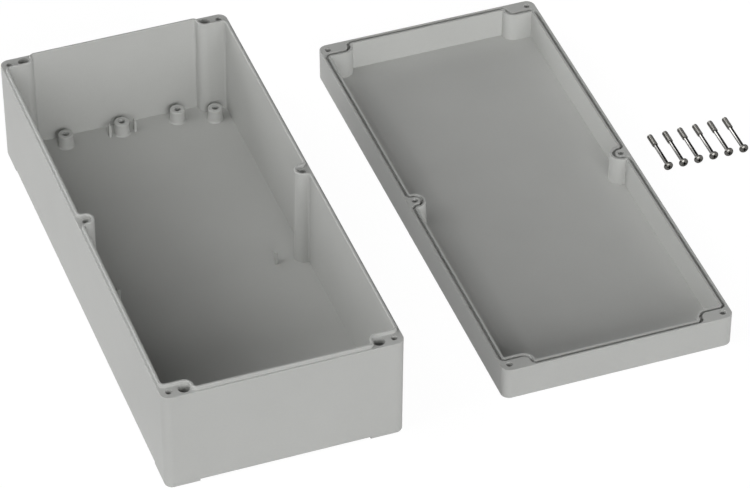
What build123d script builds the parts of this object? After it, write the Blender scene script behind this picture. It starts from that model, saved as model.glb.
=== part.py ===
from build123d import *
from math import atan2, cos, degrees, radians
import os

# Outdoor polycarbonate enclosure, shown open: the base stands with its mouth up, the lid lies
# beside it on its outer face, and the six cover screws lie in a row beside the lid.
# Millimetres, +Z up. The origin is the centre of the base's underside, in the plane of its feet.

# Outside of the closed box
box_width = 160.0
box_length = 360.0
base_height = 76.8
lid_height = 24.2
corner_radius = 6.0
mould_draft = 0.55
rim_edge = 0.3

# Walls and floors
base_floor = 3.0
lid_floor = 3.0
base_lean = 0.8
lid_lean = 0.7
base_edge_round = 2.0
lid_edge_round = 0.8

# Feet under the four corners of the base
foot_height = 1.5
foot_width = 23.0
foot_length = 25.0

# The sealing line runs inside the outer wall, around the four corner lands and the two side lobes
seal_inset = 2.5
land_reach = 21.1
land_depth = 11.0
land_round = 5.0
lobe_radius = 4.8
seal_round = 3.0
least_round = 0.2

# Tongue on the base and gasket in the lid. The tongue presses the gasket by the squeeze
tongue_width = 1.9
tongue_height = 2.5
tongue_edge = 0.4
tongue_clearance = 0.15
gasket_height = 2.0
gasket_squeeze = 0.4
gasket_clearance = 0.1
lip_width = 1.4

# Cover screws and their holes
screw_inset = 6.0
screw_thread = 4.0
screw_shank = 2.8
screw_reach = 16.0
thread_length = 10.8
thread_chamfer = 0.5
head_diameter = 6.5
head_height = 2.1
head_bevel = 1.1
recess_width = 0.9
recess_span = 3.2
recess_depth = 1.4
bore_clearance = 0.3
thread_bite = 0.4
pilot_mouth = 2.0
tip_clearance = 2.0
head_clearance = 1.0
head_seat_depth = 5.0

# Wall mounting holes in the corner lands of the base
mount_inset_x = 16.0
mount_inset_y = 6.0
mount_hole = 4.5
driver_bore = 7.8
mount_seat = 5.0

# Standoffs and locating ribs on the base floor
standoff_height = 9.5
standoff_top = 10.2
standoff_foot = 10.8
standoff_flare = 0.8
standoff_edge = 0.5
standoff_hole = 4.8
standoff_skin = 1.0
inner_row_pitch = 40.0
inner_row_inset = 13.7
outer_pair_inset_x = 15.0
outer_pair_inset_y = 21.0
rib_width = 1.5
rib_length = 3.2
rib_height = 9.3
rib_offset = 9.0
rib_inset = 14.8
middle_rib_width = 2.2
middle_rib_height = 9.9
middle_rib_inset = 25.5

# Where the lid and the screws lie
lid_gap = 69.0
lid_shift = 6.9
screw_gap = 29.7
screw_pitch = 11.14
screw_tip_y = 42.0
screw_turn = 1.4

half_width = box_width / 2
half_length = box_length / 2
floor_top = foot_height + base_floor
tongue_in = tongue_width / 2
groove_in = tongue_in + tongue_clearance
groove_depth = tongue_height + gasket_height - gasket_squeeze
screw_length = lid_height - head_seat_depth + screw_reach
screw_bore = screw_thread + bore_clearance
screw_pilot = screw_thread - thread_bite
screw_x = half_width - screw_inset
screw_y = half_length - screw_inset
mount_x = half_width - mount_inset_x
mount_y = half_length - mount_inset_y
cover_screw_places = [(x, y) for x in (-screw_x, screw_x) for y in (-screw_y, 0, screw_y)]
mount_places = [(x, y) for x in (-mount_x, mount_x) for y in (-mount_y, mount_y)]
upwards = (Align.CENTER, Align.CENTER, Align.MIN)
downwards = (Align.CENTER, Align.CENTER, Align.MAX)


def seal_region(inset):
    """The area inside the sealing line, drawn in by inset, as a flat face."""
    x = half_width - seal_inset - inset
    y = half_length - seal_inset - inset
    region = Rectangle(2 * x, 2 * y)
    land = RectangleRounded(2 * (land_reach + inset), 2 * (land_depth + inset), land_round + inset)
    lobe_width = lobe_radius + inset
    lobe = SlotOverall(2 * (half_width - screw_x + lobe_width), 2 * lobe_width)
    for sx in (-1, 1):
        for sy in (-1, 1):
            region -= Pos(sx * half_width, sy * half_length) * land
        region -= Pos(sx * half_width, 0) * lobe
    seams = [v for v in region.vertices() if abs(abs(v.X) - x) < 0.001 or abs(abs(v.Y) - y) < 0.001]
    return fillet(seams, max(seal_round - inset, least_round))


def leaning_cavity(inset, top, bottom, lean):
    """A pocket with the sealing line's plan whose walls lean in by lean from top to bottom."""
    mouth = Pos(0, 0, top) * seal_region(inset)
    floor = Pos(0, 0, bottom) * seal_region(inset + lean)
    return loft([mouth.face(), floor.face()], ruled=True)


def seal_ring(half, height):
    """A bar that follows the sealing line, half to each side of it, standing on z = 0."""
    return extrude(seal_region(-half) - seal_region(half), amount=height)


def top_edges(solid):
    """The edges round the highest flat face of a solid."""
    return solid.faces().sort_by(Axis.Z)[-1].edges()


def drafted_block(bottom, rim, edge_round):
    """The rounded outer block below the rim, narrowing downwards, with a rounded lower edge."""
    plan = Pos(0, 0, rim) * RectangleRounded(box_width, box_length, corner_radius)
    block = extrude(plan, amount=bottom - rim, taper=mould_draft)
    block = fillet(block.faces().sort_by(Axis.Z)[0].edges(), edge_round)
    return chamfer(top_edges(block), rim_edge)


def standoff():
    """One tapered boss with a flared foot and a blind hole for a thread-forming screw, from the floor up."""
    foot = standoff_foot / 2
    top = standoff_top / 2
    outline = Polyline(
        (0, 0),
        (foot + standoff_flare, 0),
        (foot, standoff_flare),
        (top, standoff_height - standoff_edge),
        (top - standoff_edge, standoff_height),
        (0, standoff_height),
        close=True,
    )
    boss = revolve(Plane.XZ * make_face(outline), axis=Axis.Z)
    hole = Cylinder(standoff_hole / 2, standoff_height - standoff_skin, align=downwards)
    return boss - Pos(0, 0, standoff_height) * hole


def hanging_bore(diameter, depth):
    """A cylinder whose top face is at z = 0, for boring down from a face."""
    return Cylinder(diameter / 2, depth, align=downwards)


def enclosure_base():
    """The deep tray: outer block on four feet, cavity, tongue, screw and mounting holes, floor bosses."""
    body = drafted_block(foot_height, base_height, base_edge_round)
    footed = drafted_block(0, base_height, base_edge_round)
    foot = Box(foot_width, foot_length, 2 * foot_height)
    for sx in (-1, 1):
        for sy in (-1, 1):
            foot_x = sx * (half_width - foot_width / 2)
            foot_y = sy * (half_length - foot_length / 2)
            body += footed & Pos(foot_x, foot_y, foot_height) * foot
    body -= leaning_cavity(tongue_in, base_height, floor_top, base_lean)
    tongue = seal_ring(tongue_in, tongue_height)
    tongue = chamfer(top_edges(tongue), tongue_edge)
    body += Pos(0, 0, base_height) * tongue
    for x, y in cover_screw_places:
        body -= Pos(x, y, base_height) * hanging_bore(screw_bore, pilot_mouth)
        body -= Pos(x, y, base_height) * hanging_bore(screw_pilot, screw_reach + tip_clearance)
    for x, y in mount_places:
        body -= Pos(x, y, base_height) * hanging_bore(driver_bore, base_height - mount_seat)
        body -= Pos(x, y, base_height) * hanging_bore(mount_hole, base_height)
    inner_row_y = half_length - inner_row_inset
    outer_pair_x = half_width - outer_pair_inset_x
    outer_pair_y = half_length - outer_pair_inset_y
    inner_row = [(column * inner_row_pitch, inner_row_y) for column in (-1, 0, 1)]
    outer_pair = [(-outer_pair_x, outer_pair_y), (outer_pair_x, outer_pair_y)]
    rib = Box(rib_width, rib_length, rib_height, align=upwards)
    middle_rib = Box(middle_rib_width, rib_length, middle_rib_height, align=upwards)
    for end in (-1, 1):
        for x, y in inner_row + outer_pair:
            body += Pos(x, end * y, floor_top) * standoff()
        for side in (-1, 1):
            body += Pos(side * rib_offset, end * (half_length - rib_inset), floor_top) * rib
    for side in (-1, 1):
        body += Pos(side * (half_width - middle_rib_inset), 0, floor_top) * middle_rib
    return body


def enclosure_lid():
    """The shallow tray, outer face down: cavity, gasket groove, screw holes with sunk head seats."""
    body = drafted_block(0, lid_height, lid_edge_round)
    body -= leaning_cavity(groove_in + lip_width, lid_height, lid_floor, lid_lean)
    body -= Pos(0, 0, lid_height - groove_depth) * seal_ring(groove_in, groove_depth)
    for x, y in cover_screw_places:
        body -= Pos(x, y, lid_height) * hanging_bore(screw_bore, lid_height)
        body -= Pos(x, y, head_seat_depth) * hanging_bore(head_diameter + head_clearance, head_seat_depth)
    return body


def lid_gasket():
    """The soft ring that lies in the bottom of the lid's groove."""
    return Pos(0, 0, lid_height - groove_depth) * seal_ring(groove_in - gasket_clearance, gasket_height)


def cover_screw():
    """A captive screw along +Z: bevelled head below z = 0, waisted shank, thread at the far end."""
    head = head_diameter / 2
    shank = screw_shank / 2
    thread = screw_thread / 2
    thread_start = screw_length - thread_length
    with BuildPart() as screw:
        with BuildSketch(Plane.XZ):
            with BuildLine():
                Polyline(
                    (0, -head_height),
                    (head - head_bevel, -head_height),
                    (head, head_bevel - head_height),
                    (head, 0),
                    (shank, 0),
                    (shank, thread_start - (thread - shank)),
                    (thread, thread_start),
                    (thread, screw_length - thread_chamfer),
                    (thread - thread_chamfer, screw_length),
                    (0, screw_length),
                    close=True,
                )
            make_face()
        revolve(axis=Axis.Z)
    slot = Box(recess_width, recess_span, recess_depth, align=upwards)
    return screw.part - Pos(0, 0, -head_height) * (slot + Rot(0, 0, 90) * slot)


def lying_screw(x):
    """The screw at rest, turned a little: the head's edge and the thread's tip both touch the surface."""
    tilt = degrees(atan2((head_diameter - screw_thread) / 2, screw_length - thread_chamfer))
    axis_height = head_diameter / 2 * cos(radians(tilt))
    head_y = screw_tip_y - screw_length * cos(radians(tilt))
    return Pos(x, head_y, axis_height) * Rot(0, 0, -screw_turn) * Rot(-90 - tilt, 0, 0) * cover_screw()


parts = {"enclosure_base": enclosure_base()}
lid_x = box_width + lid_gap
lid_place = Pos(lid_x, lid_shift, 0)
parts["enclosure_lid"] = lid_place * enclosure_lid()
parts["lid_gasket"] = lid_place * lid_gasket()
for number in range(len(cover_screw_places)):
    screw_place = lid_x + half_width + screw_gap + number * screw_pitch
    parts[f"cover_screw_{number + 1}"] = lying_screw(screw_place)

os.makedirs("parts", exist_ok=True)
for name, shape in parts.items():
    export_step(shape, f"parts/{name}.step")
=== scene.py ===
import math

import bmesh
import bpy
from mathutils import Matrix, Vector


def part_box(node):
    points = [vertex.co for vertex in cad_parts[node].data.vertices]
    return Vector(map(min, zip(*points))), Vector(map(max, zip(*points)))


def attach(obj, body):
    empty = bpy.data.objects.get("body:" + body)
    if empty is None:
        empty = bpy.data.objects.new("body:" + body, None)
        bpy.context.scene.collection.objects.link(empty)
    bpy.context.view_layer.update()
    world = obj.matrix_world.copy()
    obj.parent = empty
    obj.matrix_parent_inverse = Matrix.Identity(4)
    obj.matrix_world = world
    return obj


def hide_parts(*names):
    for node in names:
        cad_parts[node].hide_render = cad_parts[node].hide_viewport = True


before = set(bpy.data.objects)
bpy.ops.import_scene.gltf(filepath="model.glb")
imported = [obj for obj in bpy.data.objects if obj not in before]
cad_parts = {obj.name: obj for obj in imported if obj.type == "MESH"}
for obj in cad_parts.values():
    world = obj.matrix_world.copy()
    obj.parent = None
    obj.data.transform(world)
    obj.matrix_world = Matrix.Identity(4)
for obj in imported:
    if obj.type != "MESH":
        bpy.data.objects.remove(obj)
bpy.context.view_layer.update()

# The camera stands high in front of the base's left corner and looks down on the open parts with
# a long lens, as in a product photograph.
MM = 0.001
camera_azimuth = math.radians(-19.89)
camera_elevation = math.radians(40.27)
camera_place = Vector((-647.6, -2133.3, 1922.5)) * MM
camera_data = bpy.data.cameras.new("product_camera")
camera_data.sensor_width = 36
camera_data.lens = 214.07
camera_data.clip_start = 0.05
camera_data.clip_end = 60
camera = bpy.data.objects.new("product_camera", camera_data)
camera.location = camera_place
camera.rotation_euler = (math.pi / 2 - camera_elevation, 0, camera_azimuth)
bpy.context.scene.collection.objects.link(camera)
bpy.context.scene.camera = camera
bpy.context.scene.view_settings.view_transform = "Standard"


# The parts stand on a plain pale studio floor in a pale room with one dark side, which polished
# steel shows as a dark stripe. Floor and room look white, and the floor still takes the soft
# shadow of the parts.
class Value:
    """A number that changes over a surface. Arithmetic on it adds the maths nodes that work it out."""

    def __init__(self, finish, socket):
        self.finish = finish
        self.socket = socket

    def maths(self, operation, first, second=0.0):
        return self.finish.value("ShaderNodeMath", {"operation": operation}, {0: first, 1: second})

    def __add__(self, other):
        return self.maths("ADD", self, other)

    def __sub__(self, other):
        return self.maths("SUBTRACT", self, other)

    def __rsub__(self, other):
        return self.maths("SUBTRACT", other, self)

    def __mul__(self, other):
        return self.maths("MULTIPLY", self, other)

    def at_least(self, other):
        return self.maths("MAXIMUM", self, other)

    def at_most(self, other):
        return self.maths("MINIMUM", self, other)

    __radd__ = __add__
    __rmul__ = __mul__


class Finish:
    """The nodes of one material or of the room, each made by node(type, settings, sockets)."""

    def __init__(self, tree):
        self.tree = tree
        tree.nodes.clear()

    def node(self, kind, settings, sockets):
        made = self.tree.nodes.new(kind)
        for name, setting in settings.items():
            if name == "stops":
                ramp = made.color_ramp.elements
                for place, _ in setting[1:-1]:
                    ramp.new(place)
                for element, (place, colour) in zip(ramp, setting):
                    element.position = place
                    element.color = (*colour, 1)
            else:
                setattr(made, name, setting)
        for name, value in sockets.items():
            if isinstance(value, Value):
                self.tree.links.new(value.socket, made.inputs[name])
            else:
                made.inputs[name].default_value = value
        return made

    def value(self, kind, settings, sockets, output=0):
        return Value(self, self.node(kind, settings, sockets).outputs[output])


room = bpy.data.worlds.new("pale_room")
room.use_nodes = True
bpy.context.scene.world = room
room_fill = 0.05
dark_side = Vector((0.66, 0.73, 0.20))
dark_edge = 0.58
edge_softness = 6.0
darkest = 0.02
walls = Finish(room.node_tree)
rays = walls.node("ShaderNodeLightPath", {}, {})
looked_at = Value(walls, rays.outputs["Is Camera Ray"]) + Value(walls, rays.outputs["Is Transmission Ray"])
mirrored = Value(walls, rays.outputs["Is Glossy Ray"])
direction = walls.value("ShaderNodeTexCoord", {}, {}, "Generated")
towards_dark = walls.value("ShaderNodeVectorMath", {"operation": "DOT_PRODUCT"},
                           {0: direction, 1: dark_side}, "Value")
pale = ((dark_edge - towards_dark) * edge_softness + 0.5).at_least(darkest).at_most(1.0)
seen_level = mirrored * pale + (1.0 - mirrored) * room_fill
lit = walls.value("ShaderNodeBackground", {}, {"Color": seen_level, "Strength": 1.0})
plain_white = walls.value("ShaderNodeBackground", {}, {"Color": (1, 1, 1, 1), "Strength": 1.0})
mixed = walls.value("ShaderNodeMixShader", {}, {"Fac": looked_at, 1: lit, 2: plain_white})
walls.node("ShaderNodeOutputWorld", {}, {"Surface": mixed})

floor_reach = 8.0
floor_height = -0.02 * MM
floor_grey = (0.42, 0.42, 0.42, 1)
glow_strength = 1.2
glow_share = 0.8
floor_mesh = bpy.data.meshes.new("studio_floor")
floor_corners = [(-floor_reach, -floor_reach, floor_height), (floor_reach, -floor_reach, floor_height),
                 (floor_reach, floor_reach, floor_height), (-floor_reach, floor_reach, floor_height)]
floor_mesh.from_pydata(floor_corners, [], [(0, 1, 2, 3)])
floor = bpy.data.objects.new("studio_floor", floor_mesh)
bpy.context.scene.collection.objects.link(floor)
floor_material = bpy.data.materials.new("studio_floor")
floor_material.use_nodes = True
paint = Finish(floor_material.node_tree)
rays = paint.node("ShaderNodeLightPath", {}, {})
looked_at = (Value(paint, rays.outputs["Is Camera Ray"]) + Value(paint, rays.outputs["Is Glossy Ray"])
             + Value(paint, rays.outputs["Is Transmission Ray"]))
matt = paint.value("ShaderNodeBsdfDiffuse", {}, {"Color": floor_grey})
glow = paint.value("ShaderNodeEmission", {}, {"Color": (1, 1, 1, 1), "Strength": glow_strength})
whitened = paint.value("ShaderNodeMixShader", {}, {"Fac": looked_at * glow_share, 1: matt, 2: glow})
paint.node("ShaderNodeOutputMaterial", {}, {"Surface": whitened})
floor_mesh.materials.append(floor_material)

# Six large soft lamps stand round the parts: one in front, two at the left, one above the other, one
# behind the left corner with a weak one above it, and one at the right. Each is given as its
# direction round Z and its height, both in degrees, and its strength.
lamps = {
    "front_lamp": (267, 17, 2.2),
    "left_lamp": (180, 28, 0.7),
    "upper_left_lamp": (185, 54, 0.5),
    "back_left_lamp": (135, 10, 1.25),
    "back_lamp": (120, 32, 0.2),
    "right_lamp": (0, 8, 0.5),
}
lamp_softness = math.radians(40)
for name, (around_z, height, strength) in lamps.items():
    lamp_data = bpy.data.lights.new(name, "SUN")
    lamp_data.energy = strength
    lamp_data.angle = lamp_softness
    lamp = bpy.data.objects.new(name, lamp_data)
    lamp.rotation_euler = (math.pi / 2 - math.radians(height), 0, math.radians(around_z) + math.pi / 2)
    bpy.context.scene.collection.objects.link(lamp)

# Base and lid: light grey polycarbonate, each injection moulded in one piece in a finely
# spark-eroded tool, so the skin is satin with a very fine even grain.
housing_colour = (0.50, 0.505, 0.49)
darker_patch = 0.975
lighter_patch = 1.02
housing = bpy.data.materials.new("housing_plastic")
housing.use_nodes = True
plastic = Finish(housing.node_tree)
place = plastic.value("ShaderNodeTexCoord", {}, {}, "Object")
cloud = plastic.value("ShaderNodeTexNoise", {}, {"Vector": place, "Scale": 22.0, "Detail": 3.0})
speckle = plastic.value("ShaderNodeTexNoise", {}, {"Vector": place, "Scale": 900.0, "Detail": 2.0})
grain = plastic.value("ShaderNodeTexNoise", {}, {"Vector": place, "Scale": 2600.0, "Detail": 2.0})
shade = cloud * 0.6 + speckle * 0.4
tint = plastic.value("ShaderNodeValToRGB", {"stops": [
    (0.35, tuple(darker_patch * c for c in housing_colour)),
    (0.65, tuple(lighter_patch * c for c in housing_colour)),
]}, {"Fac": shade})
skin = plastic.value("ShaderNodeBump", {}, {"Height": grain + speckle * 0.5, "Strength": 0.25,
                                             "Distance": 0.06 * MM})
body = plastic.value("ShaderNodeBsdfPrincipled", {}, {
    "Base Color": tint, "Roughness": 0.45 + 0.1 * speckle, "Normal": skin, "IOR": 1.58,
    "Specular IOR Level": 0.3})
plastic.node("ShaderNodeOutputMaterial", {}, {"Surface": body})
for name in ("enclosure_base", "enclosure_lid"):
    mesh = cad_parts[name].data
    mesh.materials.clear()
    mesh.materials.append(housing)

# Gasket: a closed-cell foam ring in the bottom of the lid's groove, foamed in place, so its top is
# rounded by its own skin and it fills the groove from side to side.
bead_round = 0.85 * MM
crest_angle = math.radians(60)
foam_dark = (0.36, 0.36, 0.35)
foam_light = (0.42, 0.42, 0.41)
bead_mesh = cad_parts["lid_gasket"].data.copy()
bead_mesh.name = "lid_gasket_bead"
bead_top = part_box("lid_gasket")[1][2]
raw = bmesh.new()
raw.from_mesh(bead_mesh)
bmesh.ops.remove_doubles(raw, verts=raw.verts, dist=0.001 * MM)
bmesh.ops.dissolve_limit(raw, angle_limit=math.radians(1), verts=raw.verts, edges=raw.edges)
near_top = bead_top - 0.01 * MM
crest = [edge for edge in raw.edges if min(v.co.z for v in edge.verts) > near_top
         and edge.calc_face_angle(0) > crest_angle]
bmesh.ops.bevel(raw, geom=crest, offset=bead_round, segments=4, profile=0.5, affect="EDGES",
                clamp_overlap=True)
raw.to_mesh(bead_mesh)
raw.free()
bead = bpy.data.objects.new("lid_gasket_bead", bead_mesh)
bpy.context.scene.collection.objects.link(bead)
foam_material = bpy.data.materials.new("gasket_foam")
foam_material.use_nodes = True
foam = Finish(foam_material.node_tree)
place = foam.value("ShaderNodeTexCoord", {}, {}, "Object")
cells = foam.value("ShaderNodeTexVoronoi", {}, {"Vector": place, "Scale": 2600.0})
drift = foam.value("ShaderNodeTexNoise", {}, {"Vector": place, "Scale": 60.0, "Detail": 3.0})
foam_tint = foam.value("ShaderNodeValToRGB", {"stops": [(0.3, foam_dark), (0.7, foam_light)]},
                       {"Fac": drift * 0.7 + cells * 0.3})
foam_skin = foam.value("ShaderNodeBump", {}, {"Height": cells, "Strength": 0.5, "Distance": 0.1 * MM})
soft = foam.value("ShaderNodeBsdfPrincipled", {}, {
    "Base Color": foam_tint, "Roughness": 0.75 + 0.15 * cells, "Normal": foam_skin,
    "Specular IOR Level": 0.3})
foam.node("ShaderNodeOutputMaterial", {}, {"Surface": soft})
bead_mesh.materials.clear()
bead_mesh.materials.append(foam_material)
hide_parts("lid_gasket")
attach(bead, "root")

# Cover screws: six captive stainless screws with a cold-headed dome and cross recess, a waisted shank
# ground bright, and a rolled M4 thread at the tip only. Head and thread get a much darker steel colour,
# painted shade that stands in for dark reflections. They lie loose beside the lid.
screw_thread = 4.0 * MM
screw_shank = 2.8 * MM
screw_length = 35.2 * MM
thread_length = 10.8 * MM
thread_pitch = 0.7 * MM
thread_depth = 0.4 * MM
thread_chamfer = 0.5 * MM
head_diameter = 6.5 * MM
head_height = 2.1 * MM
head_band = 0.5 * MM
head_edge = 0.12 * MM
dome_angle = math.radians(86)
dome_steps = 9
neck_round = 0.25 * MM
neck_hollow = 0.08 * MM
recess_width = 0.9 * MM
recess_span = 3.2 * MM
recess_depth = 1.4 * MM
recess_floor_width = 0.8
recess_floor_span = 0.6
skin_gap = 0.02 * MM
around = 48
rows_in_pitch = 10
flank_rise = 1.35
root_flat = 0.2
sharp_edge = math.radians(32)


def thread_form(turn):
    """How far the thread's surface stands out of its root, from 0 to 1, at a part of one turn."""
    flank = abs(2 * (turn % 1) - 1)
    return min(max(flank_rise * flank - root_flat, 0.0), 1.0)


def screw_mesh(name):
    """One closed mesh: domed head, shank, helical thread and bevelled tip, along +Z from the head."""
    head = head_diameter / 2 - skin_gap
    shank = screw_shank / 2
    thread = screw_thread / 2 - skin_gap
    root = thread - thread_depth
    thread_start = screw_length - thread_length
    rise = thread - shank
    mesh = bmesh.new()
    rings = []

    def ring(height, radius_at):
        made = []
        for column in range(around):
            turn = column / around
            radius = radius_at(turn)
            angle = 2 * math.pi * turn
            made.append(mesh.verts.new((radius * math.cos(angle), radius * math.sin(angle), height)))
        rings.append(made)

    outline = []
    dome = head_height - head_band
    for step in range(dome_steps):
        angle = dome_angle * (1 - step / (dome_steps - 1))
        outline.append((-head_band - dome * math.sin(angle), head * math.cos(angle)))
    outline += [(-head_edge, head), (0, head - head_edge), (0, shank + neck_round),
                (neck_hollow, shank + neck_hollow), (neck_round, shank),
                (thread_start - rise - 0.05 * MM, shank)]
    for height, radius in outline:
        ring(height, lambda turn, radius=radius: radius)
    rows = round((thread_length + rise) / thread_pitch * rows_in_pitch)
    for row in range(rows + 1):
        height = thread_start - rise + (thread_length + rise) * row / rows
        run_in = min((height - thread_start + rise) / rise, 1.0)
        run_out = thread - max(height - (screw_length - thread_chamfer), 0.0)
        limit = min(shank + rise * run_in, run_out)

        def radius_at(turn, height=height, limit=limit):
            return min(limit, root + thread_depth * thread_form(height / thread_pitch - turn))
        ring(height, radius_at)
    for low_ring, high_ring in zip(rings, rings[1:]):
        for column in range(around):
            after = (column + 1) % around
            mesh.faces.new((low_ring[column], low_ring[after], high_ring[after], high_ring[column]))
    mesh.faces.new(rings[-1])
    mesh.faces.new(reversed(rings[0]))
    bmesh.ops.recalc_face_normals(mesh, faces=mesh.faces)
    made = bpy.data.meshes.new(name)
    mesh.to_mesh(made)
    mesh.free()
    return made


def cross_mesh(name):
    """The punch that leaves the cross recess: four arms that narrow towards their floor."""
    punch = bmesh.new()
    above = 0.3 * MM
    for quarter in (0, 1):
        arm = bmesh.ops.create_cube(punch, size=1.0)["verts"]
        for vert in arm:
            deep = vert.co.z > 0
            vert.co.x *= recess_width * (recess_floor_width if deep else 1.0)
            vert.co.y *= recess_span * (recess_floor_span if deep else 1.0)
            vert.co.z = recess_depth - head_height if deep else -above - head_height
        quarter_turn = Matrix.Rotation(quarter * math.pi / 2, 3, "Z")
        bmesh.ops.rotate(punch, verts=arm, cent=(0, 0, 0), matrix=quarter_turn)
    made = bpy.data.meshes.new(name)
    punch.to_mesh(made)
    punch.free()
    return made


# Head and thread colours are much darker than the ground shank: painted shade standing in for dark
# reflections.
head_thread_painted_shade_dark = (0.11, 0.108, 0.10)
head_thread_painted_shade_light = (0.16, 0.156, 0.148)
ground_dark = (0.48, 0.475, 0.46)
ground_light = (0.55, 0.545, 0.53)
ground_from = 7.4 * MM
ground_to = 30.2 * MM
skin_edge = 4000.0
steel_material = bpy.data.materials.new("screw_steel")
steel_material.use_nodes = True
steel = Finish(steel_material.node_tree)
place = steel.value("ShaderNodeTexCoord", {}, {}, "Object")
across = steel.node("ShaderNodeSeparateXYZ", {}, {"Vector": place})
along = Value(steel, across.outputs["Y"])
turned = steel.value("ShaderNodeTexNoise", {"noise_dimensions": "1D"},
                     {"W": along, "Scale": 9000.0, "Detail": 2.0})
smear = steel.value("ShaderNodeTexNoise", {}, {"Vector": place, "Scale": 320.0, "Detail": 3.0})
past_head = ((along - ground_from) * skin_edge).at_least(0.0).at_most(1.0)
before_thread = ((ground_to - along) * skin_edge).at_least(0.0).at_most(1.0)
# Low stops: painted shade on head and thread. High stops: the ground shank's own steel tone.
steel_tint = steel.value("ShaderNodeValToRGB", {"stops": [
    (0.1, head_thread_painted_shade_dark), (0.35, head_thread_painted_shade_light), (0.8, ground_dark), (0.95, ground_light),
]}, {"Fac": smear * 0.35 + past_head * before_thread * 0.65})
lines = steel.value("ShaderNodeBump", {}, {"Height": turned, "Strength": 0.3, "Distance": 0.02 * MM})
metal = steel.value("ShaderNodeBsdfPrincipled", {}, {
    "Base Color": steel_tint, "Metallic": 1.0, "Roughness": 0.12 + 0.1 * smear + 0.05 * turned,
    "Normal": lines, "Specular Tint": (0, 0, 0, 1)})
steel.node("ShaderNodeOutputMaterial", {}, {"Surface": metal})

punch = bpy.data.objects.new("punch", cross_mesh("punch"))
pattern = bpy.data.objects.new("screw_pattern", screw_mesh("screw_pattern"))
for thing in (punch, pattern):
    bpy.context.scene.collection.objects.link(thing)
cut = pattern.modifiers.new("recess", "BOOLEAN")
cut.object = punch
cut.solver = "EXACT"
cut.use_self = True
bpy.context.view_layer.update()
cut_mesh = bpy.data.meshes.new_from_object(pattern.evaluated_get(bpy.context.evaluated_depsgraph_get()))
bpy.data.objects.remove(punch)
bpy.data.objects.remove(pattern)

lay_turn = math.radians(1.4)
lay_tilt = math.atan2((head_diameter - screw_thread) / 2, screw_length - thread_chamfer)
axis = Vector((math.sin(lay_turn) * math.cos(lay_tilt), math.cos(lay_turn) * math.cos(lay_tilt),
               -math.sin(lay_tilt)))
laid = Matrix.Rotation(-lay_turn, 4, "Z") @ Matrix.Rotation(-math.pi / 2 - lay_tilt, 4, "X")
tip_radius = screw_thread / 2 - thread_chamfer
for name in sorted(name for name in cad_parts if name.startswith("cover_screw_")):
    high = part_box(name)[1]
    head_x = high[0] - head_diameter / 2 * math.sqrt(1 - axis.x ** 2)
    head_y = high[1] - screw_length * axis.y - tip_radius * math.sqrt(1 - axis.y ** 2)
    head_z = head_diameter / 2 * math.cos(lay_tilt)
    mesh = cut_mesh.copy()
    mesh.transform(Matrix.Translation((head_x, head_y, head_z)) @ laid)
    mesh.materials.clear()
    mesh.materials.append(steel_material)
    mesh.shade_smooth()
    mesh.set_sharp_from_angle(angle=sharp_edge)
    screw = bpy.data.objects.new(name + "_turned", mesh)
    bpy.context.scene.collection.objects.link(screw)
    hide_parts(name)
    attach(screw, "root")
